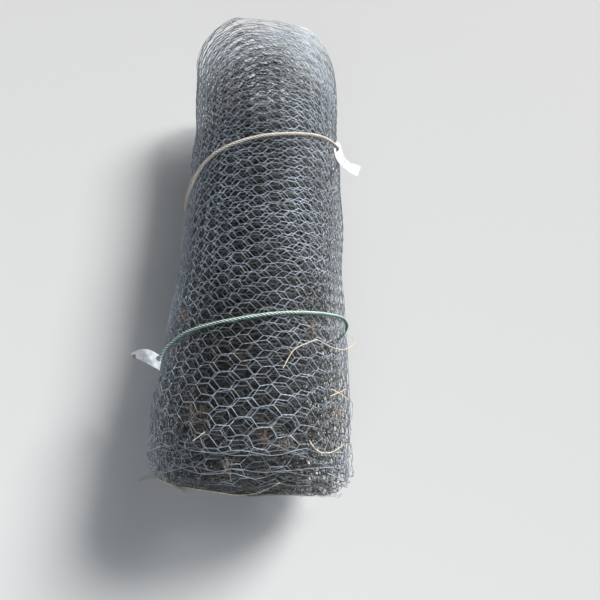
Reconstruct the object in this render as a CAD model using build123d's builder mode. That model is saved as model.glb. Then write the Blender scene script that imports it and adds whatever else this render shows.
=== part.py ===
# A loosely wound roll of hexagonal wire netting, lying on its side and tied with two ropes.
# Millimetres. The roll's axis lies along Y, with +Y towards the far end and +Z up.
# The origin is on the floor, under the middle of the roll.
from build123d import *
from math import atan, cos, degrees, radians, sin
import os

os.makedirs("parts", exist_ok=True)

# Netting: one strip, as wide as the roll is long
netting_width = 914.4
# Roll: sagged into an oval, with its inner turns slid out towards the near end
roll_width = 326.0
roll_height = 268.0
bore_diameter = 90.0
inner_turn_slip = 52.0
slip_shape = 12.0
# Turns that show on the ends, each standing for a few layers of netting
shown_turns = 8
turn_unevenness = 24.0
unevenness_phase = 2.4
# Clearance between the netting and whatever presses into it
seat_gap = 0.3

# Ties: each loop lies in an upright plane that is turned about the vertical
rope_rise = 1.4
rope_sides = 8
rear_rope_diameter = 6.5
rear_rope_y = 137.0
rear_rope_slope = 0.45
front_rope_diameter = 6.0
front_rope_y = -241.0
front_rope_slope = 0.237
# Where a loop's side arcs meet its flat arcs, as the angle of the normal there
oval_joint_angle = 52.0
# Knots: low on one side, with two short tails; girth and pinch in rope diameters
knot_angle = -20.0
knot_girth = 2.8
knot_pinch = 0.25
tail_length = 34.0
tail_bend_radius = 45.0

# Tags: blank strips, each threaded on its rope through a punched hole
tag_thickness = 0.5
tag_hole_diameter = 10.0
tag_angle = 8.0
rear_tag_length = 80.0
rear_tag_width = 26.0
rear_tag_hole_inset = 16.0
rear_tag_turn = -54.0
rear_tag_curl_radius = 150.0
front_tag_length = 62.5
front_tag_width = 27.0
front_tag_hole_inset = 9.0
front_tag_turn = -13.0
front_tag_curl_radius = 90.0
front_tag_fold = 12.0
tag_fold_angle = 60.0

# Sizes that follow from those above
half_width = roll_width / 2
half_height = roll_height / 2
bore_radius = bore_diameter / 2
outer_turn_offset = (netting_width + inner_turn_slip) / 2
# Long enough for a cut that goes right through the roll
through_length = 2 * netting_width


# Half width and half height of a turn's outside: round at the bore, sagged outside
def turn_size(turn):
    share = turn / shown_turns
    return (
        bore_radius + (half_width - bore_radius) * share,
        bore_radius + (half_height - bore_radius) * share,
    )


# Near edge of a turn's netting: the outermost turns have slid back, and in between each
# turn lies a little out of line
def turn_edge(turn):
    share = (turn - 1) / (shown_turns - 1)
    uneven = turn_unevenness * sin(unevenness_phase * turn) ** 2 * share * (1 - share)
    return inner_turn_slip * share**slip_shape + uneven - outer_turn_offset


# The plane, half width and half height of a rope's loop
def tie_loop(diameter, middle_y, slope):
    turned = atan(slope)
    bottom = diameter / 2
    top = roll_height + rope_rise
    plane = Plane(
        origin=(0, middle_y, (top + bottom) / 2),
        x_dir=(cos(turned), sin(turned), 0),
        z_dir=(sin(turned), -cos(turned), 0),
    )
    return plane, (half_width + rope_rise) / cos(turned), (top - bottom) / 2


# Radii of an oval's side and flat arcs, from its half width and half height
def oval_radii(wide, high):
    joint = radians(oval_joint_angle)
    step = (wide - high) / (cos(joint) + sin(joint) - 1)
    side = wide - step * cos(joint)
    return side, side + step


# A closed oval of four tangent arcs
def oval(wide, high):
    side, flat = oval_radii(wide, high)
    across = wide - side
    below = flat - high
    joint = oval_joint_angle
    CenterArc((across, 0), side, -joint, 2 * joint)
    CenterArc((0, -below), flat, joint, 180 - 2 * joint)
    CenterArc((-across, 0), side, 180 - joint, 2 * joint)
    CenterArc((0, below), flat, 180 + joint, 180 - 2 * joint)


# The upright plane across the roll at a given Y, centred on the roll and facing the near end
def end_plane(y):
    return Plane((0, y, half_height), x_dir=(1, 0, 0), z_dir=(0, -1, 0))


# A plane square to the rope on a side arc of its loop: hand is 1 at +X and -1 at -X.
# Its X points straight out of the roll, and its Z along the rope, upwards.
def rope_plane(loop, angle, hand):
    plane, wide, high = loop
    side = oval_radii(wide, high)[0]
    up = radians(angle)
    outward = Vector(hand * cos(up), sin(up), 0)
    point = Vector(hand * (wide - side), 0, 0) + outward * side
    along = Vector(-hand * sin(up), cos(up), 0)
    origin = plane.from_local_coords(point)
    return Plane(
        origin=origin,
        x_dir=(hand * cos(up), 0, sin(up)),
        z_dir=plane.from_local_coords(point + along) - origin,
    )


rear_loop = tie_loop(rear_rope_diameter, rear_rope_y, rear_rope_slope)
front_loop = tie_loop(front_rope_diameter, front_rope_y, front_rope_slope)
ties = [
    (rear_loop, rear_rope_diameter, 1),
    (front_loop, front_rope_diameter, -1),
]


# A length of rope, with few sides, along a route
def rope_run(route, diameter):
    with BuildSketch(Plane(route.line @ 0, z_dir=route.line % 0)) as section:
        RegularPolygon(diameter / 2, rope_sides)
    sweep(section.sketch, path=route.line)


# One rope: its loop, then its knot, whose two turns bulge round the standing rope,
# and the knot's two tails
def rope(loop, diameter, hand):
    with BuildLine(loop[0]) as route:
        oval(loop[1], loop[2])
    rope_run(route, diameter)
    knot = rope_plane(loop, knot_angle, hand)
    crest = knot_girth * diameter / 2
    shoulder = knot_pinch * diameter
    waist = crest - shoulder
    with BuildSketch(Plane(knot.origin, knot.x_dir, -knot.y_dir)) as bulge:
        with BuildLine():
            Polyline(
                (0, -diameter),
                (waist, -diameter),
                (crest, shoulder - diameter),
                (crest, -shoulder),
                (waist, 0),
                (crest, shoulder),
                (crest, diameter - shoulder),
                (waist, diameter),
                (0, diameter),
                close=True,
            )
        make_face()
    revolve(bulge.sketch, axis=Axis(knot.origin, knot.z_dir))
    for end in (1, -1):
        start = knot.from_local_coords(Vector(diameter, 0, end * diameter / 2))
        beside = Plane(start, x_dir=end * knot.y_dir, z_dir=end * knot.x_dir)
        with BuildLine(beside) as tail:
            JernArc((0, 0), (1, 0), tail_bend_radius, -degrees(tail_length / tail_bend_radius))
        rope_run(tail, diameter)
    print("rope loop", round(route.wire().length), "mm")


# A blank strip that curls down along its length, punched for its rope
def tag(place, length, width, hole_inset, curl_radius, fold):
    flat = tag_hole_diameter
    with BuildSketch(Plane(place.origin, place.x_dir, -place.y_dir)) as strip:
        with BuildLine():
            Line((-hole_inset, 0), (flat, 0))
            curled = (length - hole_inset - flat - fold) / curl_radius
            bend = JernArc((flat, 0), (1, 0), curl_radius, -degrees(curled))
            if fold:
                PolarLine(bend @ 1, fold, angle=-degrees(curled) - tag_fold_angle)
        trace(line_width=tag_thickness)
    extrude(strip.sketch, amount=width / 2, both=True)
    with Locations(place):
        Cylinder(tag_hole_diameter / 2, tag_hole_diameter, mode=Mode.SUBTRACT)


rear_tag_place = rope_plane(rear_loop, tag_angle, 1).rotated((0, 0, rear_tag_turn))
front_tag_place = rope_plane(front_loop, tag_angle, -1).rotated((0, 0, front_tag_turn))

with BuildPart() as netting_roll:
    with BuildSketch(end_plane(turn_edge(shown_turns))):
        with BuildLine():
            oval(half_width, half_height)
        make_face()
    extrude(amount=-netting_width)
    for turn in range(shown_turns - 1, 0, -1):
        outside = turn_edge(turn + 1)
        standing_out = outside - turn_edge(turn)
        near_mode, far_mode = Mode.ADD, Mode.SUBTRACT
        if standing_out < 0:
            near_mode, far_mode = far_mode, near_mode
        with BuildSketch(end_plane(outside)):
            with BuildLine():
                oval(*turn_size(turn))
            make_face()
        extrude(amount=standing_out, mode=near_mode)
        with BuildSketch(end_plane(outside + netting_width)):
            with BuildLine():
                oval(*turn_size(turn))
            make_face()
        extrude(amount=standing_out, mode=far_mode)
    with Locations(end_plane(0)):
        Cylinder(bore_radius, through_length, mode=Mode.SUBTRACT)
    for loop, diameter, hand in ties:
        bite = diameter / 2 + seat_gap
        with BuildSketch(loop[0]):
            Rectangle(through_length, through_length)
            with BuildLine():
                oval(loop[1] - bite, loop[2] - bite)
            make_face(mode=Mode.SUBTRACT)
        extrude(amount=bite, both=True, mode=Mode.SUBTRACT)
        knot_room = knot_girth * diameter + 2 * seat_gap
        with Locations(rope_plane(loop, knot_angle, hand)):
            Box(knot_room, knot_room, 2 * (diameter + seat_gap), mode=Mode.SUBTRACT)
    slots = [
        (rear_tag_place, rear_tag_hole_inset, rear_tag_width),
        (front_tag_place, front_tag_hole_inset, front_tag_width),
    ]
    for place, inset, width in slots:
        slot_length = 2 * (inset + seat_gap)
        with Locations(place):
            Box(
                slot_length,
                width + 2 * seat_gap,
                tag_thickness + 2 * seat_gap,
                mode=Mode.SUBTRACT,
            )
netting_roll.part.label = "netting_roll"
export_step(netting_roll.part, "parts/netting_roll.step")

with BuildPart() as tie_rope_rear:
    rope(rear_loop, rear_rope_diameter, 1)
tie_rope_rear.part.label = "tie_rope_rear"
export_step(tie_rope_rear.part, "parts/tie_rope_rear.step")

with BuildPart() as tie_rope_front:
    rope(front_loop, front_rope_diameter, -1)
tie_rope_front.part.label = "tie_rope_front"
export_step(tie_rope_front.part, "parts/tie_rope_front.step")

with BuildPart() as tag_rear:
    tag(
        rear_tag_place,
        rear_tag_length,
        rear_tag_width,
        rear_tag_hole_inset,
        rear_tag_curl_radius,
        0,
    )
tag_rear.part.label = "tag_rear"
export_step(tag_rear.part, "parts/tag_rear.step")

with BuildPart() as tag_front:
    tag(
        front_tag_place,
        front_tag_length,
        front_tag_width,
        front_tag_hole_inset,
        front_tag_curl_radius,
        front_tag_fold,
    )
tag_front.part.label = "tag_front"
export_step(tag_front.part, "parts/tag_front.step")
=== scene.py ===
# Loosely wound roll of hexagonal wire netting, tied with two ropes that each carry a blank tag.
# Metres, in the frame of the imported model: +Y along the roll to its far end, +Z up.
import math

import bpy
import numpy as np
from mathutils import Matrix, Vector


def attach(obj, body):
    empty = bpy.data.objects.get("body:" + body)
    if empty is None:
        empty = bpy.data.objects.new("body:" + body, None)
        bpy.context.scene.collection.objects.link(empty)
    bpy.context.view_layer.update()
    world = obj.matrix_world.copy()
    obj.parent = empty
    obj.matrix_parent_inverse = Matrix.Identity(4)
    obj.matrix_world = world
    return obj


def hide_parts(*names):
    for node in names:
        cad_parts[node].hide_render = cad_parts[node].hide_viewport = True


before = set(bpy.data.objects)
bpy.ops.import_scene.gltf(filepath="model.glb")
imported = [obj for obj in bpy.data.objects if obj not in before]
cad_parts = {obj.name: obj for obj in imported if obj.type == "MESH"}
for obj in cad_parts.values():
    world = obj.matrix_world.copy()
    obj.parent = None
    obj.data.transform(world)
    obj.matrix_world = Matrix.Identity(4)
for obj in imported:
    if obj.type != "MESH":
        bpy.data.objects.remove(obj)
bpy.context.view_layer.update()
print("frame loaded")

cameraView = {
    "place": (0.0209, -0.524, 0.896),
    "pitch": 63.232,      # degrees below the horizon
    "roll": 9.448,
    "heading": 8.463,     # degrees clockwise from +Y
    "lens": 27.04,
}


def addCamera(s):
    heading, pitch, roll = (math.radians(s[k]) for k in ("heading", "pitch", "roll"))
    ahead = Vector((math.sin(heading), math.cos(heading), 0))
    right = Vector((math.cos(heading), -math.sin(heading), 0))
    look = ahead * math.cos(pitch) - Vector((0, 0, math.sin(pitch)))
    down = -ahead * math.sin(pitch) - Vector((0, 0, math.cos(pitch)))
    imageRight = right * math.cos(roll) - down * math.sin(roll)
    imageDown = right * math.sin(roll) + down * math.cos(roll)
    turn = Matrix((imageRight, -imageDown, -look)).transposed()
    bpy.ops.object.camera_add(location=s["place"])
    camera = bpy.context.object
    camera.name = "photoCamera"
    camera.rotation_euler = turn.to_euler()
    camera.data.lens = s["lens"]
    camera.data.sensor_width = 36
    camera.data.clip_start = 0.02
    bpy.context.scene.camera = camera


addCamera(cameraView)
print("camera set")


def deselectAll():
    if bpy.context.object and bpy.context.object.mode != "OBJECT":
        bpy.ops.object.mode_set(mode="OBJECT")
    bpy.ops.object.select_all(action="DESELECT")


def makeActive(piece):
    deselectAll()
    piece.select_set(True)
    bpy.context.view_layer.objects.active = piece


def applyModifier(piece, kind, **values):
    makeActive(piece)
    modifier = piece.modifiers.new(kind.title(), kind)
    for key, value in values.items():
        setattr(modifier, key, value)
    bpy.ops.object.modifier_apply(modifier=modifier.name)


def finishPiece(piece, material, slot, *nodes):
    makeActive(piece)
    bpy.ops.object.transform_apply(location=True, rotation=True, scale=True)
    piece.data.materials.clear()
    piece.data.materials.append(material)
    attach(piece, "root")
    if nodes:
        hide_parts(*nodes)


def getPoints(piece):
    flat = np.empty(len(piece.data.vertices) * 3, np.float32)
    piece.data.vertices.foreach_get("co", flat)
    return flat.reshape(-1, 3).astype(float)


def setPoints(piece, points):
    piece.data.vertices.foreach_set("co", points.astype(np.float32).ravel())
    piece.data.update()


def writeAttribute(piece, name, values):
    attribute = piece.data.attributes.new(name, "FLOAT", "POINT")
    attribute.data.foreach_set("value", values.astype(np.float32))


def triangleCount(piece):
    return sum(len(f.vertices) - 2 for f in piece.data.polygons)


# Netting: one strip of hexagonal mesh, wound from its free end inwards
netting = {
    "width": 0.9144,
    "length": 15.24,
    "columns": 72,          # twists side by side across the width
    "repeat": 0.0538,       # along the strip, from a twist to the next in its column
    "twist": 0.0175,
    "halfTurns": 3,
    "wire": 0.00046,        # radius
    "edgeWire": 0.0006,
    "edgeWave": 0.0008,     # how far the meshes pull the edge wires in
    "outerHalf": (0.1615, 0.1325),
    "innerHalf": (0.0465, 0.0465),
    "bunched": (0.08, 0.3),         # share of outermost turns, and how much of their spacing they keep
    "middle": 0.1345,               # height of the roll's axis
    "freeEnd": math.radians(226),   # where the strip's outer end lies
    "nearEdge": -0.478,             # where the inner turns start
    "unevenEdge": 0.014,
    # how far the outer turns stand back from the near end: share of the way in, mm
    "slip": [(0, 46), (0.015, 45), (0.055, 42), (0.095, 40), (0.135, 27), (0.175, 24), (0.215, 12),
             (0.3, 4), (0.4, 0)],
}
# How far the outside departs from the even oval, in mm: place along the roll, left, right, top
rollShape = [
    (-0.484, -4, 6, -6), (-0.42, 7, 3, -2), (-0.34, 10, 2, 0), (-0.24, 0, 3, -1),
    (-0.11, -8, -1, 0), (0.06, -5, 4, 0), (0.15, -7, 6, -1), (0.25, -3, 4, 0),
    (0.35, 8, 6, 4), (0.42, 12, 5, 4), (0.484, 11, 4, 4),
]
# The far end's flare: angle round the roll, mm outwards
farFlare = [
    (-90, 0), (0, 0), (47, 5), (62, 6), (75, 1), (88, 5), (100, 12), (114, 14), (126, 9), (140, 5),
    (160, 4), (180, 7), (220, 3), (270, 0),
]
# Edges of the outermost turns, in mm off their even line: angle round the roll, near, far
edgeShape = [
    (-90, -2, -10), (-30, -12, -30), (-5, -22, -32), (20, -22, -34), (37, -8, -14), (49, 0, -3),
    (62, 4, 2), (78, 8, 1), (92, 2, 3), (105, 0, 4), (117, 4, 5), (132, 8, 5), (165, 6, 5),
    (200, 0, -3), (270, -2, -10),
]
# How near each part of the near end comes, in mm: place across the roll, place along it
nearLimit = [
    (-170, -432), (-156, -450), (-139, -462), (-114, -472), (-84, -473), (-53, -477), (0, -482),
    (27, -479), (74, -480), (109, -483), (123, -483), (147, -478), (158, -470), (170, -462),
]
# What the netting stays inside: its far end, its top and the floor; and how softly it stops
# at each of them, and at the near end
limits = {"far": 0.483, "top": 0.2714, "floor": 0.0009,
          "nearSoft": 0.004, "farSoft": 0.001, "topSoft": 0.0008}
# Turns that match at the near end are out of step with each other past it
drift = {
    "start": 0.12,          # from the strip's near edge
    "reach": 0.18,
    "nearShare": 0.4,       # how much of it the near end has
    "end": 0.9,             # where the shift along the roll is over
    "round": 0.0109,        # for each radian wound off
    "along": 0.018,         # the most that a turn shifts towards the near end
    "soon": 19,             # radians wound off in which most of that comes
}
# Ripples of the netting: size, in radians round the roll and metres otherwise, how often round
# it, how often along it, where they start, and for some how far and how often that start wanders
rippleRows = {
    "round": [(0.008, 4.7, 37, 0), (0.007, 9.1, -58, 1), (0.008, 5.3, -23, 0, 2, 3)],
    "roundNear": [(0.03, 3.1, 47, 0), (0.02, 7.7, -61, 1)],
    "along": [(0.0014, 6.3, 43, 0), (0.0016, 7.1, 31, 0, 2, 2.3)],
    "alongCrushed": [(0.006, 1.7, 0, 1), (0.004, 4.3, 0, 0), (0.003, 11.3, 0, 0)],
    "outCrushed": [(0.006, 2.6, 40, 0), (0.004, 5.3, 70, 2), (0.003, 11.7, -90, 0)],
}
# What else puts the netting out of shape
wear = {
    "drawnOut": 0.02,       # far end of the turns a little further in
    "dent": 0.0016,
    "pressed": 0.003,       # under the ropes
    "pressedReach": 0.022,
    "flareFrom": 0.34,      # place along the roll
    "flareReach": 0.13,
    "crushReach": 0.1,      # of the crumpled near end
    "crushIn": 0.006,
    "rippleReach": 0.12,    # of the near end's own ripples
    "drawnIn": 0.0015,      # the whole sheet
}
# The ties: rope radius; where the rope is raised to pass its tag, as angle, height and spread;
# and its line, as angle round the roll and place along it
ropes = {
    "tie_rope_rear": {"radius": 0.0034, "raised": (26, 0.0042, 8), "line": [
        (-90, 0.137), (-50, 0.19), (-15, 0.21), (9, 0.207), (17, 0.197), (25, 0.1875), (31, 0.1865),
        (39, 0.184), (49, 0.176), (59, 0.167), (68, 0.158), (76, 0.1496), (86, 0.141), (96, 0.132),
        (107, 0.123), (120, 0.112), (130, 0.101), (136, 0.092), (144, 0.08), (152, 0.065),
        (161, 0.053), (175, 0.048), (195, 0.055), (230, 0.09), (270, 0.137)]},
    "tie_rope_front": {"radius": 0.003, "raised": (156, 0.0065, 7), "line": [
        (-90, -0.241), (-40, -0.215), (0, -0.203), (27, -0.206), (40, -0.213), (52, -0.219),
        (62, -0.225), (75, -0.231), (87, -0.2375), (102, -0.2455), (114, -0.249), (128, -0.2535),
        (139, -0.2575), (152, -0.274), (160, -0.299), (168, -0.292), (185, -0.28), (220, -0.268),
        (270, -0.241)]},
}
columnGap = netting["width"] / netting["columns"]
repeats = int(netting["length"] / netting["repeat"])


def wireSection(sides, radius):
    deselectAll()
    bpy.ops.mesh.primitive_circle_add(vertices=sides, radius=radius)
    bpy.ops.object.convert(target="CURVE")
    return bpy.context.object


# Wires or strands of one section, each along its own line of points
def wireRuns(name, lines, section, closed=False, caps=True, twist="MINIMUM"):
    curve = bpy.data.curves.new(name, "CURVE")
    curve.dimensions = "3D"
    curve.twist_mode = twist
    curve.bevel_mode = "OBJECT"
    curve.bevel_object = section
    curve.use_fill_caps = caps and not closed
    for points in lines:
        spline = curve.splines.new("POLY")
        spline.points.add(len(points) - 1)
        flat = np.ones((len(points), 4))
        flat[:, :3] = points
        spline.points.foreach_set("co", flat.ravel())
        spline.use_cyclic_u = closed
    piece = bpy.data.objects.new(name, curve)
    bpy.context.collection.objects.link(piece)
    return piece


def joinRuns(name, runs):
    deselectAll()
    for run in runs:
        run.select_set(True)
    bpy.context.view_layer.objects.active = runs[0]
    bpy.ops.object.convert(target="MESH")
    if len(runs) > 1:
        bpy.ops.object.join()
    bpy.ops.object.transform_apply(location=True, rotation=True, scale=True)
    bpy.context.object.name = name
    return bpy.context.object


def arrayAlong(sheet, count, offset, merge):
    applyModifier(sheet, "ARRAY", count=count, use_relative_offset=False,
                  use_constant_offset=True, constant_offset_displace=offset,
                  use_merge_vertices=merge, merge_threshold=0.00004)


# One wire of a twist, with the halves of its two slanting lengths
def twistPoints(side, steps):
    n = netting
    half, reach = n["twist"] / 2, n["repeat"] / 4
    points = [(-reach, side * columnGap / 2, 0)]
    for k in range(steps + 1):
        turned = math.pi * n["halfTurns"] * k / steps + (0 if side > 0 else math.pi)
        x = -half + n["twist"] * k / steps
        points.append((x, n["wire"] * math.cos(turned), n["wire"] * math.sin(turned)))
    points.append((reach, -side * columnGap / 2, 0))
    return points


# Outer turns: every twist is two wires wound round each other
def twistedSheet(name, first, last, sides, steps):
    n = netting
    section = wireSection(sides, n["wire"])
    runs = []
    for column in (0, 1):
        for side in (1, -1):
            run = wireRuns(name, [twistPoints(side, steps)], section, caps=False, twist="Z_UP")
            run.location = (column * n["repeat"] / 2, (column + 0.5) * columnGap, 0)
            runs.append(run)
    sheet = joinRuns(name, runs)
    arrayAlong(sheet, n["columns"] // 2, (0, 2 * columnGap, 0), True)
    arrayAlong(sheet, last - first, (n["repeat"], 0, 0), True)
    bpy.data.objects.remove(section)
    makeActive(sheet)
    bpy.ops.object.mode_set(mode="EDIT")
    bpy.ops.mesh.select_all(action="SELECT")
    bpy.ops.mesh.fill_holes(sides=sides)
    bpy.ops.object.mode_set(mode="OBJECT")
    points = getPoints(sheet)
    points[:, 0] += first * n["repeat"]
    setPoints(sheet, points)
    return sheet


# One wire of the inner turns, which runs on from twist to twist between two columns
def lanePoints(lane, first, last):
    n = netting
    lie, step = n["wire"], n["repeat"] / 2
    points = [(first * n["repeat"] - step / 2, lane * columnGap, 0)]
    for k in range(2 * first, 2 * last):
        farSide = k % 2 == lane % 2
        middle = k * step
        # an outermost wire lies along the edge wire where the others reach a twist
        if (lane == 0 and not farSide) or (lane == n["columns"] and farSide):
            y, half = lane * columnGap, step / 2
        else:
            y = (lane + (0.5 if farSide else -0.5)) * columnGap + (-lie if farSide else lie)
            half = n["twist"] / 2
        pair = [(middle - half, y, 0), (middle + half, y, 0)]
        points += [p for p in pair if p[0] - points[-1][0] > 0.000001]
    if last * n["repeat"] - step / 2 - points[-1][0] > 0.000001:
        points.append((last * n["repeat"] - step / 2, lane * columnGap, 0))
    return points


# Inner turns: each wire is a single line, without the winding in its twists
def plainSheet(name, first, last, sides):
    columns = netting["columns"]
    section = wireSection(sides, netting["wire"])

    def lane(k):
        return wireRuns(name, [lanePoints(k, first, last)], section, twist="Z_UP")

    sheet = joinRuns(name, [lane(1), lane(2)])
    arrayAlong(sheet, columns // 2 - 1, (0, 2 * columnGap, 0), False)
    sheet = joinRuns(name, [sheet, lane(0), lane(columns - 1), lane(columns)])
    bpy.data.objects.remove(section)
    return sheet


# The wires that run along both edges of the strip
def edgeSheet(name, first, last):
    n = netting
    section = wireSection(3, n["edgeWire"])
    runs = []
    for y in (0, n["width"]):
        steps = np.arange(4 * first, 4 * last + 1)
        inward = n["edgeWave"] * np.cos(steps * math.pi / 2) * (1 if y == 0 else -1)
        points = np.stack([steps * n["repeat"] / 4, y + inward, 0 * steps], 1)
        runs.append(wireRuns(name, [points], section, twist="Z_UP"))
    sheet = joinRuns(name, runs)
    bpy.data.objects.remove(section)
    return sheet


# Half width and half height of the roll at a share of the way in
def halfSizes(share):
    n = netting
    outer, kept = n["bunched"]
    inward = np.where(share < outer, share * kept,
                      outer * kept + (share - outer) * (1 - outer * kept) / (1 - outer))
    wide = n["outerHalf"][0] + (n["innerHalf"][0] - n["outerHalf"][0]) * inward
    high = n["outerHalf"][1] + (n["innerHalf"][1] - n["outerHalf"][1]) * inward
    return wide, high


# The spiral, as a table of the length wound off against the angle; the strip ends before it does
def spiralTable():
    n = netting
    mean = (sum(n["outerHalf"]) + sum(n["innerHalf"])) / 4
    turns = n["length"] / (2 * math.pi * mean)
    angle = np.linspace(0, 2 * math.pi * turns, 40000)
    share = angle / angle[-1]
    wide, high = halfSizes(share)
    x, z = wide * np.cos(angle), high * np.sin(angle)
    run = np.concatenate([[0], np.cumsum(np.hypot(np.diff(x), np.diff(z)))])
    print("netting wound in", round(np.interp(n["length"], run, angle) / (2 * math.pi), 1), "turns")
    return run, angle, share


def inMetres(rows, column):
    return [row[column] / 1000 for row in rows]


# Near edge of the strip: the inner turns have slid out towards the near end
def nearEdge(share):
    n, outward = netting, 1 - share
    slip = np.interp(share, [row[0] for row in n["slip"]], inMetres(n["slip"], 1))
    return slip + n["unevenEdge"] * np.sin(2.4 * (1 + 7 * outward)) * outward * share + n["nearEdge"]


spiral = spiralTable()


# A table's values at even places, with its corners rounded off over so many of them
def rounded(even, places, values, reach):
    soft = np.hanning(2 * reach + 1)
    values = np.interp(even, places, values)
    return np.convolve(np.pad(values, reach, "edge"), soft / soft.sum(), "valid")


def shapeExtra(y, around):
    fine = np.linspace(-0.5, 0.5, 201)
    stations = [row[0] for row in rollShape]
    left, right, top = (rounded(fine, stations, inMetres(rollShape, k), 8) for k in (1, 2, 3))
    cosine, sine = np.cos(around), np.sin(around)
    sideways = np.where(cosine < 0, np.interp(y, fine, left), np.interp(y, fine, right))
    return sideways * cosine ** 2 + np.interp(y, fine, top) * np.maximum(sine, 0) ** 2


# One column of a table by angle round the roll
def roundTable(rows, column, degrees):
    fine = np.arange(-90, 271, 2)
    return np.interp(degrees, fine, rounded(fine, [row[0] for row in rows], inMetres(rows, column), 6))


def tieLine(tie, degrees):
    return np.interp(degrees, [p[0] for p in tie["line"]], [p[1] for p in tie["line"]])


def softLimit(value, soft):
    return soft * np.logaddexp(0, value / soft)


# How far round and how far along the roll a place on the strip has drifted
def skew(turned, across):
    d = drift
    share = np.clip((across - d["start"]) / d["reach"], 0, 1)
    share = d["nearShare"] + (1 - d["nearShare"]) * share * share * (3 - 2 * share)
    ending = np.clip((d["end"] - across) / d["reach"], 0, 1)
    return d["round"] * turned * share, -d["along"] * (1 - np.exp(-turned / d["soon"])) * share * ending


def ripples(kind, turned, across):
    total = 0.0
    for size, often, oftenAlong, start, *wander in rippleRows[kind]:
        at = often * turned + oftenAlong * across + start
        if wander:
            at = at + wander[0] * np.sin(wander[1] * turned)
        total = total + size * np.sin(at)
    return total


# Winds the flat strip on, from points along it, across it and out of its face
def windOn(points):
    n = netting
    run, angle, share = spiral
    along, across, out = points[:, 0], points[:, 1], points[:, 2]
    turned = np.interp(along, run, angle)
    part = np.interp(along, run, share)
    driftRound, driftAlong = skew(turned, across)
    around = n["freeEnd"] - turned + driftRound
    # cells drawn out of shape round the roll, more so at the near end
    nearer = np.clip(1 - across / wear["rippleReach"], 0, 1)
    around += ripples("round", turned, across) + nearer * ripples("roundNear", turned, across)
    wide, high = halfSizes(part)
    outer = 1 - part
    normal = np.stack([np.cos(around) / wide, np.sin(around) / high], 1)
    normal /= np.linalg.norm(normal, axis=1)[:, None]
    place = np.stack([wide * np.cos(around), high * np.sin(around)], 1)
    degrees = (np.degrees(around) + 90) % 360 - 90
    near, far = (roundTable(edgeShape, k, degrees) for k in (1, 2))
    reach = across / n["width"]
    y = across + driftAlong + nearEdge(part) + (near * (1 - reach) + far * reach) * outer ** 5
    # the turns a little further in are stretched towards the far end
    y += wear["drawnOut"] * reach ** 3 * np.sin(np.pi * np.clip((part - 0.08) / 0.5, 0, 1))
    # slow waves in the sheet, the same for neighbouring turns
    wave = (0.0015 * np.sin(2 * around + 9 * y + 1.3 * outer)
            + 0.0012 * np.sin(3 * around - 17 * y + 2.0)
            + 0.0008 * np.sin(5 * around + 31 * y + 0.7)) * outer ** 0.5
    # each turn also has its own dents
    wave += wear["dent"] * np.sin(1.7 * turned + 13 * y) * np.sin(0.37 * turned + 24 * y + 1)
    wave += shapeExtra(y, around) * outer ** 0.7
    # pressed in under the ropes
    for tie in ropes.values():
        off = (y - tieLine(tie, degrees)) / wear["pressedReach"]
        wave -= wear["pressed"] * np.exp(-off ** 2) * outer ** 0.5
    # flared far end
    flared = np.clip((y - wear["flareFrom"]) / wear["flareReach"], 0, 1.1) ** 1.5
    wave += roundTable(farFlare, 1, degrees) * flared * outer
    # crumpled near end
    crushed = np.clip(1 - across / wear["crushReach"], 0, 1) ** 1.3
    wave += crushed * (ripples("outCrushed", turned, across) - wear["crushIn"] * outer ** 3)
    y = y + ripples("along", turned, across) + crushed * ripples("alongCrushed", turned, across)
    out = out + wave - wear["drawnIn"]
    x = place[:, 0] + normal[:, 0] * out
    z = place[:, 1] + normal[:, 1] * out + n["middle"]
    nearest = np.interp(x, inMetres(nearLimit, 0), inMetres(nearLimit, 1))
    y = nearest + softLimit(y - nearest, limits["nearSoft"])
    y = limits["far"] - softLimit(limits["far"] - y, limits["farSoft"])
    z = limits["top"] - softLimit(limits["top"] - z, limits["topSoft"])
    return np.stack([x, y, np.maximum(z, limits["floor"])], 1)


# A place by its angle on the outside of the roll and its distance along it, lifted off it
def onRoll(aroundDegrees, y, lift):
    n = netting
    around = math.radians(aroundDegrees)
    across = y + 0.44     # a first guess
    for _ in range(4):
        turned = (n["freeEnd"] - around + skew(n["freeEnd"] - around, across)[0]) % (2 * math.pi)
        along = np.interp(turned, spiral[1], spiral[0])
        spot = windOn(np.array([[along, across, 0.0]]))[0]
        across += y - spot[1]
    wide, high = n["outerHalf"]
    normal = Vector((math.cos(around) / wide, 0, math.sin(around) / high)).normalized()
    return Vector(spot) + normal * lift


# How much painted shade the wires get, from 0 outside to 1 at the bore, standing in for the shadow
# inside the roll; less on some edges and the far half, as painted light, and more on the far half's
# twists
wireShade = {
    "nearEdge": (0.15, 1.7, 0.12),   # least share of it, how much turns differ, and reach
    "farEdge": (0.2, 0.15),          # least share of it, and reach
    "farHalf": (0.15, 0.2),          # where the brighter far half starts, and over what length
    "farOuter": (0.55, 0.12),        # how much brighter its outer turns are, and over what depth
    "nearMore": 0.06,                # how much duller the near half is
    "twistMore": 0.08,               # and the twists in the far half
}


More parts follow.
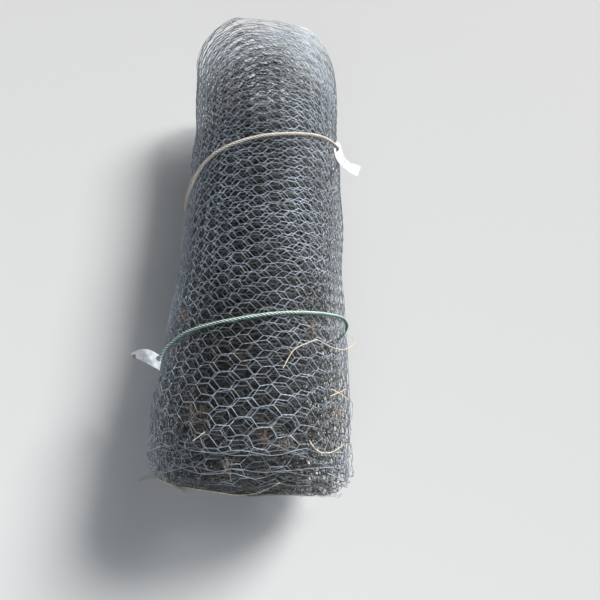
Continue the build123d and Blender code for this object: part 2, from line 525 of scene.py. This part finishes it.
def paintedShadeAmount(flat):
    n, s = netting, wireShade
    along, across = flat[:, 0], flat[:, 1]
    dull = np.interp(along, spiral[0], spiral[2])
    turn = np.interp(along, spiral[0], spiral[1]) / (2 * math.pi)
    # painted light: a few of the near edges get less painted shade than the rest
    shade = np.random.default_rng(5).random(40)
    least, differ, reach = s["nearEdge"]
    dull *= np.clip(least + differ * np.interp(turn, np.arange(40), shade) + across / reach, 0, 1)
    # painted light towards the far edge, and on the outer turns of the far half
    least, reach = s["farEdge"]
    dull *= np.clip(least + (n["width"] - across) / reach, 0, 1)
    start, reach = s["farHalf"]
    far = np.clip((across - start) / reach, 0, 1)
    most, reach = s["farOuter"]
    dull *= 1 - most * far * np.clip(1.6 - dull / reach, 0, 1)
    # painted shade: the near half a little darker
    dull += s["nearMore"] * (1 - far)
    # painted shade on the twists in the far half, standing in for the highlights they lack
    column = np.floor(across / columnGap)
    beside = along - (column % 2) * n["repeat"] / 2
    beside = np.abs(beside - np.round(beside / n["repeat"]) * n["repeat"])
    return dull + s["twistMore"] * far * (beside < n["twist"] / 2)


def finishNetting(sheet):
    flat = getPoints(sheet)
    # the painted shade goes on as the depth attribute
    writeAttribute(sheet, "depth", paintedShadeAmount(flat))
    setPoints(sheet, windOn(flat))
    makeActive(sheet)
    bpy.ops.object.shade_smooth()
    finishPiece(sheet, wireMaterial, "galvanised_wire", "netting_roll")
    print(sheet.name, triangleCount(sheet), "triangles")


# Materials
def nodeMaterial(name):
    material = bpy.data.materials.new(name)
    material.use_nodes = True
    nodes = material.node_tree.nodes
    return material, nodes, material.node_tree.links, nodes["Principled BSDF"]


def noise(nodes, links, coordinates, scale, detail=4.0, roughness=0.55):
    node = nodes.new("ShaderNodeTexNoise")
    node.inputs["Scale"].default_value = scale
    node.inputs["Detail"].default_value = detail
    node.inputs["Roughness"].default_value = roughness
    links.new(coordinates, node.inputs["Vector"])
    return node.outputs["Fac"]


def ramp(nodes, links, factor, stops):
    node = nodes.new("ShaderNodeValToRGB")
    links.new(factor, node.inputs["Fac"])
    band = node.color_ramp.elements
    while len(band) < len(stops):
        band.new(0.5)
    for element, (place, colour) in zip(band, stops):
        element.position = place
        element.color = colour if len(colour) == 4 else (*colour, 1)
    return node.outputs["Color"]


def mixColours(nodes, links, factor, first, second, blend="MIX"):
    node = nodes.new("ShaderNodeMix")
    node.data_type = "RGBA"
    node.blend_type = blend
    for socket, value in ((node.inputs["Factor"], factor), (node.inputs["A"], first),
                          (node.inputs["B"], second)):
        if isinstance(value, bpy.types.NodeSocket):
            links.new(value, socket)
        else:
            socket.default_value = value
    return node.outputs["Result"]


def attributeValue(nodes, name):
    node = nodes.new("ShaderNodeAttribute")
    node.attribute_name = name
    return node.outputs["Fac"]


def addBump(nodes, links, shader, height, strength, distance):
    bump = nodes.new("ShaderNodeBump")
    bump.inputs["Strength"].default_value = strength
    bump.inputs["Distance"].default_value = distance
    links.new(height, bump.inputs["Height"])
    links.new(bump.outputs["Normal"], shader.inputs["Normal"])


def grey(value):
    return (value, value, value, 1)


def galvanisedMaterial():
    material, nodes, links, shader = nodeMaterial("galvanised wire")
    place = nodes.new("ShaderNodeTexCoord").outputs["Object"]
    spangle = noise(nodes, links, place, 260, 2)
    broad = noise(nodes, links, place, 9, 3)
    zinc = ramp(nodes, links, spangle, [(0.3, (0.57, 0.66, 0.82)), (0.7, (0.84, 0.94, 1.0))])
    patches = noise(nodes, links, place, 55, 2)
    patches = ramp(nodes, links, patches, [(0.38, grey(0.72)), (0.6, grey(1))])
    zinc = mixColours(nodes, links, 1.0, zinc, patches, "MULTIPLY")
    dull = ramp(nodes, links, broad, [(0.35, (0.62, 0.61, 0.58)), (0.65, (1, 1, 1))])
    base = mixColours(nodes, links, 1.0, zinc, dull, "MULTIPLY")
    # painted shade: the colour darkens and browns with the depth attribute, standing in for the shadow
    # inside the roll
    paintedShadeTint = ramp(nodes, links, attributeValue(nodes, "depth"), [
        (0.0, grey(1)), (0.08, grey(0.92)), (0.13, grey(0.7)),
        (0.18, (0.44, 0.42, 0.39)), (0.25, (0.27, 0.25, 0.22)), (1.0, (0.07, 0.058, 0.047))])
    base = mixColours(nodes, links, 1.0, base, paintedShadeTint, "MULTIPLY")
    rustSpread = noise(nodes, links, place, 22, 5, 0.65)
    rusty = ramp(nodes, links, rustSpread, [(0.64, grey(0)), (0.74, grey(1))])
    base = mixColours(nodes, links, rusty, base, (0.16, 0.09, 0.055, 1))
    links.new(base, shader.inputs["Base Color"])
    links.new(ramp(nodes, links, spangle, [(0.3, grey(0.42)), (0.7, grey(0.6))]),
              shader.inputs["Roughness"])
    links.new(ramp(nodes, links, rustSpread, [(0.64, grey(0.45)), (0.74, grey(0.05))]),
              shader.inputs["Metallic"])
    return material


wireMaterial = galvanisedMaterial()
finishNetting(twistedSheet("netting_turn_1", 0, 18, 4, 6))
finishNetting(twistedSheet("netting_turn_2", 18, 36, 4, 6))
finishNetting(twistedSheet("netting_turns_3_4", 36, 70, 3, 3))
finishNetting(plainSheet("netting_turns_5_11", 70, 178, 3))
finishNetting(plainSheet("netting_turns_12_on", 178, repeats, 3))
finishNetting(edgeSheet("netting_edges", 0, repeats))


# Ropes: three strands laid round a line that follows the roll
ropeLook = {
    "strand": 0.464,        # strand radius, in rope radii
    "out": 0.536,           # how far a strand lies from the rope's middle
    "lay": 6.2,             # length of one turn of the strands, in rope radii
    "perTurn": 10,          # points of a strand in each turn
    "sides": 6,
    "fray": 1.6,            # how far the strands spread at a tail's end
    "fibre": 0.00009,       # radius of a loose fibre
    "fibreLong": (0.004, 0.010),
    "fibreHeights": (0.0004, 0.272),     # the lowest and the highest they reach
    "every": 8,             # degrees round the roll from one point of the route to the next
    "clear": 0.0013,        # between the netting's wires and the rope
    "top": 0.2722,          # the ropes stay below this
    "knotAngle": -20,       # below the widest part of the roll
    "knotOut": 2.0,         # how far the knot's turns lie from the rope's middle, in rope radii
    "knotReach": 1.9,       # how far they reach each way along the rope
    "knotSteps": 9,         # points each way, and the degrees between them
    "knotStep": 42,
    "tail": 0.034,
    "tailSag": 0.45,        # as a share of its length
    "light": (0.08, 0.8, 1.0),   # way the side with painted light faces
}
# The knot's side, the number of loose fibres, the frayed length, and an all-over offset of its painted
# light
ropes["tie_rope_rear"].update(side=1, fibres=420, loose=0.011, seed=4, bleach=0.8)
ropes["tie_rope_front"].update(side=-1, fibres=60, loose=0.007, seed=9, bleach=-0.05)


def tieAngle(side, up):
    return up if side > 0 else 180 - up


# Points along a NURBS line through given points
def splinePoints(points, closed, perPoint=16):
    line = bpy.data.curves.new("route", "CURVE")
    line.dimensions = "3D"
    line.resolution_u = perPoint
    spline = line.splines.new("NURBS")
    spline.points.add(len(points) - 1)
    for spot, p in zip(spline.points, points):
        spot.co = (*p, 1)
    spline.order_u = 3
    spline.use_cyclic_u = closed
    spline.use_endpoint_u = not closed
    route = bpy.data.objects.new("route", line)
    bpy.context.collection.objects.link(route)
    bpy.context.view_layer.update()
    mesh = bpy.data.meshes.new_from_object(route)
    found = np.array([v.co[:] for v in mesh.vertices])
    bpy.data.objects.remove(route)
    bpy.data.meshes.remove(mesh)
    return found


def evenSteps(points, step, closed):
    if closed:
        points = np.vstack([points, points[:1]])
    run = np.concatenate([[0], np.cumsum(np.linalg.norm(np.diff(points, axis=0), axis=1))])
    count = max(4, round(run[-1] / step))
    at = np.linspace(0, run[-1], count + 1)[: count if closed else None]
    return np.stack([np.interp(at, run, points[:, k]) for k in range(3)], 1), run[-1]


# Square frames carried along a line
def carriedFrames(points, closed, first):
    ahead = np.roll(points, -1, axis=0) - np.roll(points, 1, axis=0)
    if not closed:
        ahead[0], ahead[-1] = points[1] - points[0], points[-1] - points[-2]
    ahead /= np.linalg.norm(ahead, axis=1)[:, None]
    across = np.empty_like(points)
    carried = np.array(first, float)
    for k, way in enumerate(ahead):
        carried = carried - way * np.dot(carried, way)
        carried /= np.linalg.norm(carried)
        across[k] = carried
    return ahead, across, np.cross(ahead, across)


# Lines of the strands of a laid rope; frayed ends spread where loose is given
def strandLines(points, closed, radius, first, loose=0.0):
    look = ropeLook
    step = look["lay"] * radius / look["perTurn"]
    points, length = evenSteps(points, step, closed)
    ahead, across, third = carriedFrames(points, closed, first)
    count = len(points)
    turns = round(length / (look["lay"] * radius)) if closed else length / (look["lay"] * radius)
    homeTurn = 0.0
    if closed:   # the frame comes home a little turned
        home = across[0] - ahead[-1] * np.dot(across[0], ahead[-1])
        homeTurn = math.atan2(np.dot(home, third[-1]), np.dot(home, across[-1]))
    share = np.arange(count) / (count if closed else count - 1)
    spread = np.ones(count)
    if loose:
        fromEnd = np.minimum(share, 1 - share) * length
        spread += look["fray"] * np.clip(1 - fromEnd / loose, 0, 1) ** 1.5
    lines = []
    for k in range(3):
        turned = 2 * math.pi * (k / 3 + turns * share) + homeTurn * share
        off = look["out"] * radius * spread
        lines.append(points + across * (off * np.cos(turned))[:, None]
                     + third * (off * np.sin(turned))[:, None])
    return lines, points, across, third, length


def fibreLines(points, across, third, radius, count, random):
    lines = []
    for _ in range(count):
        k = random.integers(2, len(points) - 4)
        turned = random.uniform(0, 2 * math.pi)
        out = across[k] * math.cos(turned) + third[k] * math.sin(turned)
        way = (points[k + 2] - points[k - 2]) * random.choice([-1, 1])
        way /= np.linalg.norm(way)
        side = np.cross(out, way)
        long = random.uniform(*ropeLook["fibreLong"])
        start = points[k] + out * radius * 0.9
        lean = random.uniform(-0.5, 0.5)
        fibre = np.array([start, start + long * (0.5 * way + 0.22 * out + 0.3 * lean * side),
                          start + long * (0.9 * way + random.uniform(0.1, 0.6) * out + lean * side)])
        fibre[:, 2] = np.clip(fibre[:, 2], *ropeLook["fibreHeights"])
        lines.append(fibre)
    return lines


# The loop follows the roll, and rises where it goes through its tag
def loopPoints(tie):
    radius = tie["radius"]
    raised, lift, spread = tie["raised"]
    route = []
    for angle in range(-80, 280, ropeLook["every"]):
        more = lift * math.exp(-((angle - raised) / spread) ** 2)
        spot = onRoll(angle, tieLine(tie, angle), radius + ropeLook["clear"] + more)
        spot.z = min(max(spot.z, radius + 0.0003), ropeLook["top"] - radius)
        route.append(spot)
    return splinePoints(route, True)


# The knot: two round turns about the standing rope, and both tails
def knotPoints(tie, loop):
    n, look, radius = netting, ropeLook, tie["radius"]
    angle = math.radians(tieAngle(tie["side"], look["knotAngle"]))
    outward = Vector((math.cos(angle), 0, math.sin(angle)))
    gap = np.hypot(loop[:, 0] - outward.x * n["outerHalf"][0],
                   loop[:, 2] - outward.z * n["outerHalf"][1] - n["middle"])
    k = int(gap.argmin())
    middle = Vector(loop[k])
    along = Vector(loop[(k + 3) % len(loop)] - loop[k - 3]).normalized()
    if along.z < 0:
        along = -along
    outward = (outward - along * outward.dot(along)).normalized()
    sideways = along.cross(outward)
    knot = []
    for step in range(-look["knotSteps"], look["knotSteps"] + 1):
        turned = math.radians(step * look["knotStep"])
        way = outward * math.cos(turned) + sideways * math.sin(turned)
        knot.append(middle + along * (step / look["knotSteps"] * look["knotReach"] * radius)
                    + way * look["knotOut"] * radius)
    tails = []
    for start, end in ((knot[0], -1), (knot[-1], 1)):
        way = sideways * end
        tails.append([start + way * (look["tail"] * f) + outward * (radius * 1.2 * math.sin(3 * f))
                      - Vector((0, 0, look["tail"] * look["tailSag"] * f * f))
                      for f in (0.3, 0.55, 0.8, 1.05)])
    return splinePoints(tails[0][::-1] + knot + tails[1], False, 10), outward


def makeRope(name, tie):
    random = np.random.default_rng(tie["seed"])
    radius, look = tie["radius"], ropeLook
    lines, points, across, third, length = strandLines(loopPoints(tie), True, radius, (0, 1, 0))
    fibres = fibreLines(points, across, third, radius, tie["fibres"], random)
    knot, outward = knotPoints(tie, points)
    more, points, across, third, knotLength = strandLines(
        knot, False, radius * 0.92, outward, tie["loose"])
    fibres += fibreLines(points, across, third, radius, tie["fibres"] // 8, random)
    section = wireSection(look["sides"], look["strand"] * radius)
    thin = wireSection(3, look["fibre"])
    piece = joinRuns(name, [wireRuns(name, lines, section, closed=True),
                            wireRuns(name, more, section), wireRuns(name, fibres, thin)])
    bpy.data.objects.remove(section)
    bpy.data.objects.remove(thin)
    makeActive(piece)
    bpy.ops.object.mode_set(mode="EDIT")
    bpy.ops.mesh.select_all(action="SELECT")
    bpy.ops.mesh.normals_make_consistent(inside=False)
    bpy.ops.object.mode_set(mode="OBJECT")
    bpy.ops.object.shade_smooth()
    # painted light and shade: the side facing ropeLook's light gets the lit colours, the underside the
    # painted shade colour
    ways = np.empty(len(piece.data.vertices) * 3)
    piece.data.vertex_normals.foreach_get("vector", ways)
    writeAttribute(piece, "bleach", np.clip(tie["bleach"] + ways.reshape(-1, 3) @ look["light"], 0, 1))
    print(name, "loop", round(length, 3), "m, knot and tails", round(knotLength, 3), "m",
          triangleCount(piece), "triangles")
    return piece


# Painted light and shade: by the attribute written in makeRope, the rope's lit side takes the pale fibre
# colours and its underside the under colour, a painted shade
def ropeMaterial(name, light, dark, under, dirt, roughness, sheen):
    material, nodes, links, shader = nodeMaterial(name)
    place = nodes.new("ShaderNodeTexCoord").outputs["Object"]
    fine = noise(nodes, links, place, 1500, 3, 0.7)
    broad = noise(nodes, links, place, 45, 4)
    base = ramp(nodes, links, fine, [(0.3, dark), (0.62, light)])
    darkened = ramp(nodes, links, broad, [(0.42, (1, 1, 1)), (0.7, dirt)])
    base = mixColours(nodes, links, 1.0, base, darkened, "MULTIPLY")
    # painted light and shade: the underside colour mixed into the lit colour by which way the surface
    # faces
    bleached = mixColours(nodes, links, attributeValue(nodes, "bleach"), (*under, 1), base)
    links.new(bleached, shader.inputs["Base Color"])
    shader.inputs["Roughness"].default_value = roughness
    shader.inputs["Sheen Weight"].default_value = sheen
    shader.inputs["Sheen Roughness"].default_value = 0.4
    addBump(nodes, links, shader, fine, 0.5, 0.0004)
    return material


# Painted light: near-white lit colours standing in for the highlight on top, and a brown painted shade
# underneath
tanRope = ropeMaterial("tan natural rope", (1.0, 0.97, 0.91), (0.93, 0.85, 0.72), (0.3, 0.21, 0.13),
                       (0.92, 0.87, 0.79), 0.7, 0.4)
# Painted light: near-white mint lit colours standing in for the highlight on top, and a dark green
# painted shade underneath
greenRope = ropeMaterial("green rope", (0.94, 1.0, 0.97), (0.72, 0.92, 0.84), (0.0, 0.15, 0.075),
                         (0.92, 0.93, 0.9), 0.35, 0.4)
finishPiece(makeRope("rear_rope", ropes["tie_rope_rear"]), tanRope, "tan_rope", "tie_rope_rear")
finishPiece(makeRope("front_rope", ropes["tie_rope_front"]), greenRope, "green_rope", "tie_rope_front")

# Tags: blank strips threaded on the ropes. Each is laid between two given edges, in mm;
# its hole has a place along the strip and aside of its middle, and past its crease it has a brown
# painted shade
tags = {
    "rear": {
        "length": 0.098, "width": 0.026, "crease": 1.0,
        "hole": 0.0215, "aside": 0, "holeRadius": 0.006,
        "farEdge": [(153.4, 213.6, 189), (159.9, 200.5, 193), (161.2, 187.9, 192), (164.8, 176.2, 188),
                    (174.4, 173.8, 176), (185.7, 174.1, 167), (196.5, 174.6, 163), (208.3, 171, 161)],
        "nearEdge": [(145.6, 195.9, 197), (143.6, 180, 200), (144.4, 169, 199), (148.1, 156.6, 195),
                     (156.6, 154.9, 184), (169.5, 152.6, 172), (183.9, 150.1, 163), (198.9, 145.8, 158)],
    },
    "front": {
        "length": 0.072, "width": 0.025, "crease": 0.76,
        "hole": 0.005, "aside": 0.0052, "holeRadius": 0.0044,
        "farEdge": [(-149.4, -282.2, 194), (-156.9, -278.5, 193), (-166.7, -272.6, 191),
                    (-175.2, -268.8, 188), (-182.4, -267.8, 185), (-190.3, -268.1, 182),
                    (-194.9, -268.8, 179), (-201.7, -268.6, 172), (-207.6, -269, 164)],
        "nearEdge": [(-148.9, -306.8, 194), (-158.7, -301, 192), (-168.1, -295.4, 189),
                     (-176.5, -290.5, 184), (-184.6, -284.7, 175), (-192.9, -279.1, 166),
                     (-196.6, -276.5, 160), (-203.3, -273.5, 152), (-208.9, -269.8, 145)],
    },
}
tagSheet = {
    "thickness": 0.00045,
    "along": 60,            # faces
    "across": 18,
    "crumple": 0.0003,
    "dish": 0.001,          # how far its middle is sunk
}


def punchHole(strip, s):
    deselectAll()
    bpy.ops.mesh.primitive_cylinder_add(vertices=24, radius=s["holeRadius"], depth=0.01,
                                        location=(s["hole"], s["aside"], 0))
    punch = bpy.context.object
    applyModifier(strip, "BOOLEAN", object=punch, operation="DIFFERENCE", solver="EXACT")
    bpy.data.objects.remove(punch)


def makeTag(name, s):
    deselectAll()
    bpy.ops.mesh.primitive_grid_add(x_subdivisions=tagSheet["along"], y_subdivisions=tagSheet["across"],
                                    size=1, location=(s["length"] / 2, 0, 0))
    strip = bpy.context.object
    strip.name = name
    strip.scale = (s["length"], s["width"], 1)
    bpy.ops.object.transform_apply(location=True, rotation=True, scale=True)
    applyModifier(strip, "SOLIDIFY", thickness=tagSheet["thickness"], offset=0)
    punchHole(strip, s)
    edges = []
    for edge in ("farEdge", "nearEdge"):
        line = splinePoints([[place / 1000 for place in p] for p in s[edge]], False, 12)
        run = np.concatenate([[0], np.cumsum(np.linalg.norm(np.diff(line, axis=0), axis=1))])
        edges.append((run / run[-1], line))
    flat = getPoints(strip)
    share = flat[:, 0] / s["length"]
    side = 0.5 - flat[:, 1] / s["width"]

    def onSurface(along, across):
        far, near = (np.stack([np.interp(along, run, line[:, k]) for k in range(3)], 1)
                     for run, line in edges)
        return far * (1 - across)[:, None] + near * across[:, None]

    ahead = (onSurface(np.clip(share + 0.01, 0, 1), side)
             - onSurface(np.clip(share - 0.01, 0, 1), side))
    wide = onSurface(share, np.zeros_like(side)) - onSurface(share, np.ones_like(side))
    normal = np.cross(ahead, wide)
    normal /= np.linalg.norm(normal, axis=1)[:, None]
    crumple = (tagSheet["crumple"] * np.sin(31 * share + 4 * side) * np.sin(7 * side - 9 * share)
               + tagSheet["crumple"] * np.sin(17 * share - 11 * side + 1)
               - tagSheet["dish"] * np.sin(np.pi * side))
    setPoints(strip, onSurface(share, side) + normal * (flat[:, 2] + crumple)[:, None])
    # painted shade past the crease, towards the near edge; the far edge gets none
    past = np.clip((share - s["crease"]) / 0.05, 0, 1) * np.clip((side - 0.22) / 0.15, 0, 1)
    writeAttribute(strip, "flapShade", past)
    makeActive(strip)
    bpy.ops.object.shade_smooth_by_angle(angle=math.radians(50))
    print(name, triangleCount(strip), "triangles")
    return strip


def tagMaterial():
    material, nodes, links, shader = nodeMaterial("white tag")
    place = nodes.new("ShaderNodeTexCoord").outputs["Object"]
    broad = noise(nodes, links, place, 70, 4)
    spots = noise(nodes, links, place, 420, 3, 0.7)
    base = ramp(nodes, links, broad, [(0.35, (0.74, 0.79, 0.88)), (0.6, (0.88, 0.89, 0.9))])
    dirt = ramp(nodes, links, spots, [(0.66, (1, 1, 1)), (0.78, (0.7, 0.64, 0.55))])
    tagColour = mixColours(nodes, links, 1.0, base, dirt, "MULTIPLY")
    # painted shade: past the crease the flap turns brown, standing in for its shaded underside
    darkened = mixColours(nodes, links, attributeValue(nodes, "flapShade"), tagColour, (0.3, 0.21, 0.14, 1))
    links.new(darkened, shader.inputs["Base Color"])
    links.new(ramp(nodes, links, broad, [(0.3, grey(0.45)), (0.7, grey(0.65))]),
              shader.inputs["Roughness"])
    addBump(nodes, links, shader, broad, 0.35, 0.0006)
    return material


whiteTag = tagMaterial()
finishPiece(makeTag("rear_tag", tags["rear"]), whiteTag, "white_tag", "tag_rear")
finishPiece(makeTag("front_tag", tags["front"]), whiteTag, "white_tag", "tag_front")


# Single wires or stems along given lines
def placedRuns(name, lines, sides, radius, perPoint):
    section = wireSection(sides, radius)
    lines = [splinePoints(line, False, perPoint) for line in lines]
    piece = joinRuns(name, [wireRuns(name, lines, section)])
    bpy.data.objects.remove(section)
    makeActive(piece)
    bpy.ops.object.shade_smooth()
    print(name, triangleCount(piece), "triangles")
    return piece


# Loose ends of wire that stand out of the netting
def strayWires():
    random = np.random.default_rng(3)
    lines = [
        [(-0.131, -0.402, 0.218), (-0.15, -0.406, 0.192), (-0.159, -0.417, 0.174),
         (-0.15, -0.427, 0.186), (-0.141, -0.428, 0.206), (-0.127, -0.425, 0.222)],
        [(-0.138, -0.409, 0.2), (-0.155, -0.415, 0.17), (-0.161, -0.43, 0.15), (-0.152, -0.44, 0.17)],
        [(0.145, -0.345, 0.201), (0.16, -0.341, 0.17), (0.163, -0.356, 0.161),
         (0.153, -0.385, 0.186), (0.142, -0.396, 0.205)],
        [(0.11, -0.46, 0.225), (0.127, -0.466, 0.222), (0.145, -0.472, 0.201), (0.14, -0.474, 0.18)],
        [(0.12, -0.468, 0.2), (0.14, -0.476, 0.185), (0.15, -0.474, 0.16), (0.146, -0.46, 0.14)],
    ]
    for k in range(22):   # cells squashed flat under the near right corner
        x = 0.055 + 0.0042 * k + random.uniform(-0.002, 0.002)
        y, z = -0.472 - 0.008 * random.random(), 0.03 + 0.09 * random.random()
        lines.append([(x, y, z), (x + 0.004, y - 0.003, z - 0.004),
                      (x + 0.009, -0.4825, z - 0.008), (x + 0.012, y, z - 0.004)])
    return placedRuns("netting_strays", lines, 4, netting["wire"], 8)


strays = strayWires()
writeAttribute(strays, "depth", np.zeros(len(strays.data.vertices)))
finishPiece(strays, wireMaterial, "galvanised_wire", "netting_roll")

# Straw and dry grass caught in the netting
strawStems = [
    [(0.155, -0.233, 0.186), (0.169, -0.224, 0.157), (0.174, -0.235, 0.159), (0.161, -0.252, 0.175),
     (0.143, -0.27, 0.209), (0.121, -0.275, 0.231), (0.097, -0.269, 0.25), (0.093, -0.27, 0.252),
     (0.062, -0.288, 0.265), (0.053, -0.3, 0.268), (0.043, -0.322, 0.27)],
    [(-0.077, -0.423, 0.257), (-0.07, -0.419, 0.26), (-0.061, -0.412, 0.263)],
    [(0.115, -0.353, 0.236), (0.129, -0.345, 0.223), (0.144, -0.334, 0.206)],
    [(0.117, -0.342, 0.234), (0.133, -0.342, 0.219), (0.149, -0.35, 0.2)],
    [(-0.12, -0.449, 0.02), (-0.166, -0.449, 0.012), (-0.204, -0.456, 0.004)],
    [(-0.165, -0.447, 0.011), (-0.15, -0.46, 0.006), (-0.12, -0.475, 0.003)],
    [(-0.147, -0.46, 0.1), (-0.119, -0.47, 0.11), (-0.0855, -0.475, 0.13), (-0.053, -0.48, 0.145),
     (-0.024, -0.481, 0.07), (0.002, -0.481, 0.1), (0.022, -0.481, 0.19), (0.041, -0.475, 0.25)],
    [(0.082, -0.419, 0.248), (0.087, -0.427, 0.246), (0.096, -0.434, 0.241), (0.109, -0.434, 0.233),
     (0.122, -0.43, 0.223), (0.138, -0.417, 0.206)],
]
# Place and size of each tangle of dry grass, and whether it is brown
grassTufts = [
    ((0.088, -0.25, 0.252), 0.011, 0), ((-0.075, -0.384, 0.253), 0.012, 1),
    ((0.016, -0.419, 0.262), 0.012, 1), ((0.05, -0.425, 0.255), 0.01, 0),
    ((-0.03, -0.455, 0.25), 0.009, 0), ((-0.113, -0.227, 0.23), 0.009, 1),
    ((0.125, -0.375, 0.222), 0.011, 0), ((-0.073, 0.252, 0.254), 0.016, 1),
    ((-0.02, -0.3, 0.25), 0.009, 1),
]
stemsPerTuft = 14


def tuftLines(brown):
    random = np.random.default_rng(12 + brown)
    lines = []
    for middle, size, kind in grassTufts:
        for _ in range(stemsPerTuft if kind == brown else 0):
            start = np.array(middle) + random.normal(0, size * 0.5, 3) * (1, 1, 0.4)
            way = random.normal(0, 1, 3) * (1, 1, 0.35)
            way *= size * random.uniform(0.5, 1.1) / np.linalg.norm(way)
            bend = random.normal(0, size * 0.3, 3) * (1, 1, 0.4)
            lines.append([start - way, start + bend, start + way])
    return lines


def strawMaterial(name, light, dark):
    material, nodes, links, shader = nodeMaterial(name)
    place = nodes.new("ShaderNodeTexCoord").outputs["Object"]
    base = ramp(nodes, links, noise(nodes, links, place, 190, 3), [(0.35, dark), (0.6, light)])
    links.new(base, shader.inputs["Base Color"])
    rough = noise(nodes, links, place, 900, 2)
    links.new(ramp(nodes, links, rough, [(0.3, grey(0.45)), (0.7, grey(0.8))]),
              shader.inputs["Roughness"])
    return material


straw = strawMaterial("straw", (0.88, 0.77, 0.6), (0.62, 0.48, 0.32))
dullStraw = strawMaterial("dull straw", (0.52, 0.42, 0.31), (0.32, 0.23, 0.16))
deadGrass = strawMaterial("brown grass", (0.22, 0.14, 0.1), (0.11, 0.07, 0.05))
for name, lines, sides, radius, material in (("straw_stems", strawStems, 5, 0.0008, straw),
                                             ("straw_bits", tuftLines(0), 3, 0.0003, dullStraw),
                                             ("brown_grass", tuftLines(1), 3, 0.0004, deadGrass)):
    finishPiece(placedRuns(name, lines, sides, radius, 6), material, "tan_rope")

# Floor and light: a broad light from the far right, and a bluish one from the near side
studio = {
    "floor": (0.63, 0.63, 0.62, 1),
    "floorSize": 8,
    "floorDrop": 0.0005,
    "world": (0.9, 0.93, 1.0, 1),
    "worldStrength": 0.12,
    "sun": 4.7,
    "sunFrom": (0.6, 0.5, 0.66),
    "sunWidth": 22,          # degrees
    "fill": 18,
    "fillColour": (0.82, 0.9, 1.0),
    "fillSize": 1.6,
    "fillFrom": (-0.3, -2.2, 1.6),
    "fillTo": (0, -0.2, 0.1),
}


def facing(way):
    return Vector(way).to_track_quat("Z", "Y").to_euler()


def addStudio(s):
    deselectAll()
    bpy.ops.mesh.primitive_plane_add(size=s["floorSize"], location=(0, 0, -s["floorDrop"]))
    floor = bpy.context.object
    floor.name = "studioFloor"
    bpy.ops.object.transform_apply(location=True, rotation=True, scale=True)
    material, nodes, links, shader = nodeMaterial("studio floor")
    shader.inputs["Base Color"].default_value = s["floor"]
    shader.inputs["Roughness"].default_value = 0.9
    floor.data.materials.append(material)
    world = bpy.data.worlds.new("studioWorld")
    bpy.context.scene.world = world
    world.use_nodes = True
    sky = world.node_tree.nodes["Background"]
    sky.inputs["Color"].default_value = s["world"]
    sky.inputs["Strength"].default_value = s["worldStrength"]
    bpy.ops.object.light_add(type="SUN", location=(1, 1.3, 1.3))
    sun = bpy.context.object
    sun.name = "farSky"
    sun.data.energy = s["sun"]
    sun.data.angle = math.radians(s["sunWidth"])
    sun.rotation_euler = facing(s["sunFrom"])
    bpy.ops.object.light_add(type="AREA", location=s["fillFrom"])
    fill = bpy.context.object
    fill.name = "nearFill"
    fill.data.size = s["fillSize"]
    fill.data.energy = s["fill"]
    fill.data.color = s["fillColour"]
    fill.rotation_euler = facing(fill.location - Vector(s["fillTo"]))
    print("floor and lights set")


addStudio(studio)
bpy.context.scene.view_settings.view_transform = "Standard"
